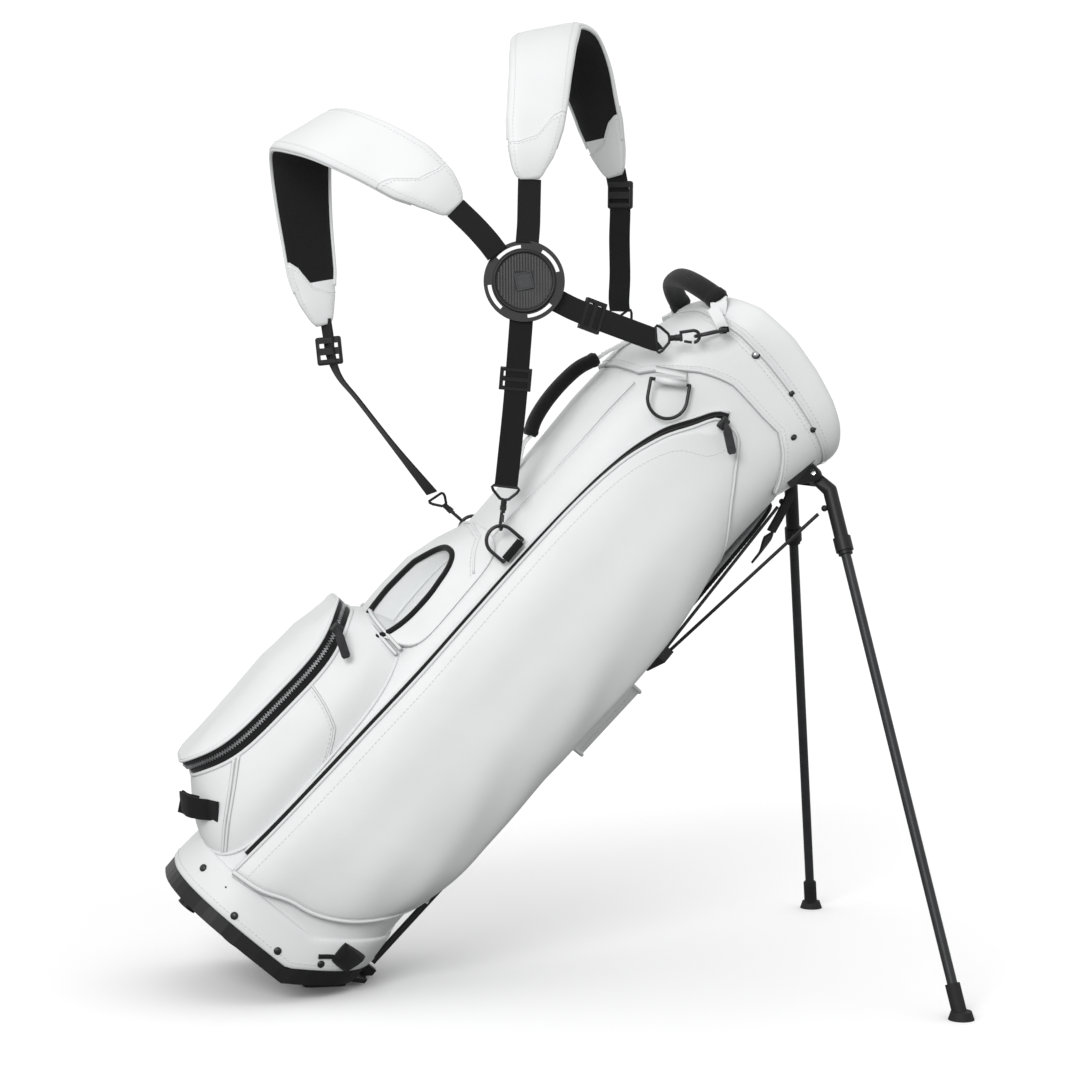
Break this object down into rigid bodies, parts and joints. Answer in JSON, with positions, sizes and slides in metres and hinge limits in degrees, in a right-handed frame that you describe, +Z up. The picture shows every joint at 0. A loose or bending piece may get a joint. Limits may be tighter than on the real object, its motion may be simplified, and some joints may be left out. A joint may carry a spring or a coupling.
{
  "type": "golf stand bag",
  "caption": "Leaning golf stand bag with folding legs, double shoulder strap with round hub, front ball pocket with zipped lid, side pockets, rim handle and open club tube.",
  "frame": {"origin": "centre of the flat rubber pad under the base on which the leaning bag rests, at ground level", "axes": "+Z up from the ground, +X the way the bag leans towards its legs, +Y towards the side away from the strap hub; the bag is symmetric about the XZ plane except for its straps"},
  "size_m": [0.8367, 0.616, 1.0642],
  "materials": {
    "white_leather": "smooth fine-grained synthetic leather",
    "black_moulding": "satin moulded nylon",
    "black_fabric": "woven webbing and mesh",
    "rubber": "matte",
    "black_metal": "black coated steel",
    "steel": "satin",
    "leg_finish": "anodised black",
    "fibreglass": "satin"
  },
  "bodies": {
    "bag": {"base_cup": "black_moulding", "hinge_pins": "steel", "front_panel": "white_leather", "spine_panel": "white_leather", "near_panel": "white_leather", "far_panel": "white_leather", "near_pocket": "white_leather", "far_pocket": "white_leather", "ball_pocket": "white_leather", "bottle_sleeve": "white_leather", "sleeve_binding": "black_fabric", "collar": "white_leather", "top_ring": "black_moulding", "divider_sheets": "black_fabric", "stays": "fibreglass", "top_handle": "black_fabric", "grab_grip": "black_fabric", "grab_straps": "white_leather", "rivets": "black_metal", "fabric_tabs": "black_fabric", "hip_pad": "black_fabric", "rod_cover": "white_leather", "hinge_housing": "black_moulding", "leg_strap": "black_fabric", "d_rings": "black_metal", "ring_loops": "black_metal", "zips": "black_fabric", "zip_sliders": "black_metal", "hub_disc": "black_moulding", "hub_cap": "black_moulding", "shoulder_pad_left": "white_leather", "shoulder_pad_right": "white_leather", "webbing": "black_fabric", "strap_fittings": "black_moulding"},
    "leg_near": {"leg_arm_near": "black_moulding", "leg_tube_near": "leg_finish", "leg_foot_near": "rubber"},
    "leg_far": {"leg_arm_far": "black_moulding", "leg_tube_far": "leg_finish", "leg_foot_far": "rubber"},
    "push_rod": {"push_rod": "black_metal"},
    "link_near": {"link_near": "black_metal"},
    "link_far": {"link_far": "black_metal"},
    "foot_plate": {"foot_plate": "black_moulding", "foot_pad": "rubber"},
    "ball_lid": {"ball_pocket_lid": "white_leather"},
    "near_puller": {"near_puller": "black_metal"},
    "far_puller": {"far_puller": "black_metal"},
    "ball_puller": {"ball_puller": "black_metal"},
    "towel_ring": {"towel_ring": "black_metal"},
    "slide_low": {"slide_low": "black_moulding"},
    "slide_top": {"slide_top": "black_moulding"},
    "hook_low_near": {"hook_low_near": "black_metal"},
    "gate_low_near": {"gate_low_near": "black_metal"},
    "hook_low_far": {"hook_low_far": "black_metal"},
    "gate_low_far": {"gate_low_far": "black_metal"},
    "hook_top_near": {"hook_top_near": "black_metal"},
    "gate_top_near": {"gate_top_near": "black_metal"},
    "hook_top_far": {"hook_top_far": "black_metal"},
    "gate_top_far": {"gate_top_far": "black_metal"}
  },
  "joints": [
    {"name": "leg_near_fold", "type": "hinge", "parent": "bag", "child": "leg_near", "pos_m": [0.54723, -0.074, 0.56467], "axis": [-0.3391, -0.8951, 0.2896], "range_deg": [-48, 0]},
    {"name": "leg_far_fold", "type": "hinge", "parent": "bag", "child": "leg_far", "pos_m": [0.54723, 0.074, 0.56467], "axis": [0.3391, -0.8951, -0.2896], "range_deg": [-48, 0]},
    {"name": "push_rod_slide", "type": "slide", "parent": "bag", "child": "push_rod", "axis": [0.6879, 0, 0.7258], "range_m": [-0.0216, 0]},
    {"name": "link_near_pivot", "type": "hinge", "parent": "push_rod", "child": "link_near", "pos_m": [0.39161, -0.009, 0.36091], "axis": [-0.5409, -0.8338, 0.1102], "range_deg": [0, 6.21]},
    {"name": "link_far_pivot", "type": "hinge", "parent": "push_rod", "child": "link_far", "pos_m": [0.39161, 0.009, 0.36091], "axis": [0.5409, -0.8338, -0.1102], "range_deg": [0, 6.21]},
    {"name": "foot_plate_hinge", "type": "hinge", "parent": "bag", "child": "foot_plate", "pos_m": [-0.04164, 0, 0.01685], "axis": [0, 1, 0], "range_deg": [0, 19.1]},
    {"name": "ball_lid_hinge", "type": "hinge", "parent": "bag", "child": "ball_lid", "pos_m": [-0.15244, 0.094, 0.2351], "axis": [-0.7039, 0, -0.7103], "range_deg": [0, 100]},
    {"name": "near_puller_flip", "type": "hinge", "parent": "bag", "child": "near_puller", "pos_m": [0.43052, -0.1364, 0.62357], "axis": [-0.9752, 0, -0.2212], "range_deg": [0, 120]},
    {"name": "far_puller_flip", "type": "hinge", "parent": "bag", "child": "far_puller", "pos_m": [0.43052, 0.1364, 0.62357], "axis": [0.9752, 0, 0.2212], "range_deg": [0, 120]},
    {"name": "ball_puller_flip", "type": "hinge", "parent": "bag", "child": "ball_puller", "pos_m": [0.01017, -0.104, 0.40395], "axis": [-0.9536, 0, -0.3011], "range_deg": [0, 120]},
    {"name": "towel_ring_swing", "type": "hinge", "parent": "bag", "child": "towel_ring", "pos_m": [0.37154, -0.123, 0.67], "axis": [-0.9833, 0, 0.1822], "range_deg": [0, 120]},
    {"name": "slide_low_travel", "type": "slide", "parent": "bag", "child": "slide_low", "axis": [-0.0521, 0.2258, -0.9728], "range_m": [-0.04, 0.09]},
    {"name": "slide_top_travel", "type": "slide", "parent": "bag", "child": "slide_top", "axis": [0.9187, 0.2373, -0.3157], "range_m": [-0.022, 0.055]},
    {"name": "hook_low_near_swivel", "type": "hinge", "parent": "bag", "child": "hook_low_near", "pos_m": [0.19066, -0.11674, 0.54947], "axis": [-0.1, 0.1346, -0.9858], "range_deg": [-10, 10]},
    {"name": "gate_low_near_press", "type": "hinge", "parent": "hook_low_near", "child": "gate_low_near", "pos_m": [0.18838, -0.11811, 0.52699], "axis": [0.9949, 0, -0.1009], "range_deg": [0, 12], "stiffness_Nm_per_rad": 0.05, "springref_deg": -11.46},
    {"name": "hook_low_far_swivel", "type": "hinge", "parent": "bag", "child": "hook_low_far", "pos_m": [0.14853, 0.10846, 0.5321], "axis": [0.7509, 0.1007, -0.6527], "range_deg": [-10, 10]},
    {"name": "gate_low_far_press", "type": "hinge", "parent": "hook_low_far", "child": "gate_low_far", "pos_m": [0.16554, 0.10631, 0.51732], "axis": [0.6561, 0, 0.7547], "range_deg": [0, 12], "stiffness_Nm_per_rad": 0.05, "springref_deg": -11.46},
    {"name": "hook_top_near_swivel", "type": "hinge", "parent": "bag", "child": "hook_top_near", "pos_m": [0.36215, -0.13062, 0.7167], "axis": [0.9948, -0.0676, 0.0765], "range_deg": [-10, 10]},
    {"name": "gate_top_near_press", "type": "hinge", "parent": "hook_top_near", "child": "gate_top_near", "pos_m": [0.38457, -0.13214, 0.71402], "axis": [-0.0678, -0.9977, 0], "range_deg": [0, 12], "stiffness_Nm_per_rad": 0.05, "springref_deg": -11.46},
    {"name": "hook_top_far_swivel", "type": "hinge", "parent": "bag", "child": "hook_top_far", "pos_m": [0.37231, 0.13061, 0.74421], "axis": [0.7062, 0.068, -0.7048], "range_deg": [-10, 10]},
    {"name": "gate_top_far_press", "type": "hinge", "parent": "hook_top_far", "child": "gate_top_far", "pos_m": [0.3849, 0.13182, 0.72544], "axis": [0.0958, -0.9954, 0], "range_deg": [0, 12], "stiffness_Nm_per_rad": 0.05, "springref_deg": -11.46}
  ],
  "couplings": [
    {"joint": "leg_far_fold", "follows": "leg_near_fold", "ratio": 1},
    {"joint": "push_rod_slide", "follows": "leg_near_fold", "m_per_rad": 0.025399},
    {"joint": "link_near_pivot", "follows": "leg_near_fold", "ratio": -0.12733},
    {"joint": "link_far_pivot", "follows": "leg_near_fold", "ratio": -0.12733},
    {"joint": "foot_plate_hinge", "follows": "leg_near_fold", "ratio": -0.39583}
  ]
}
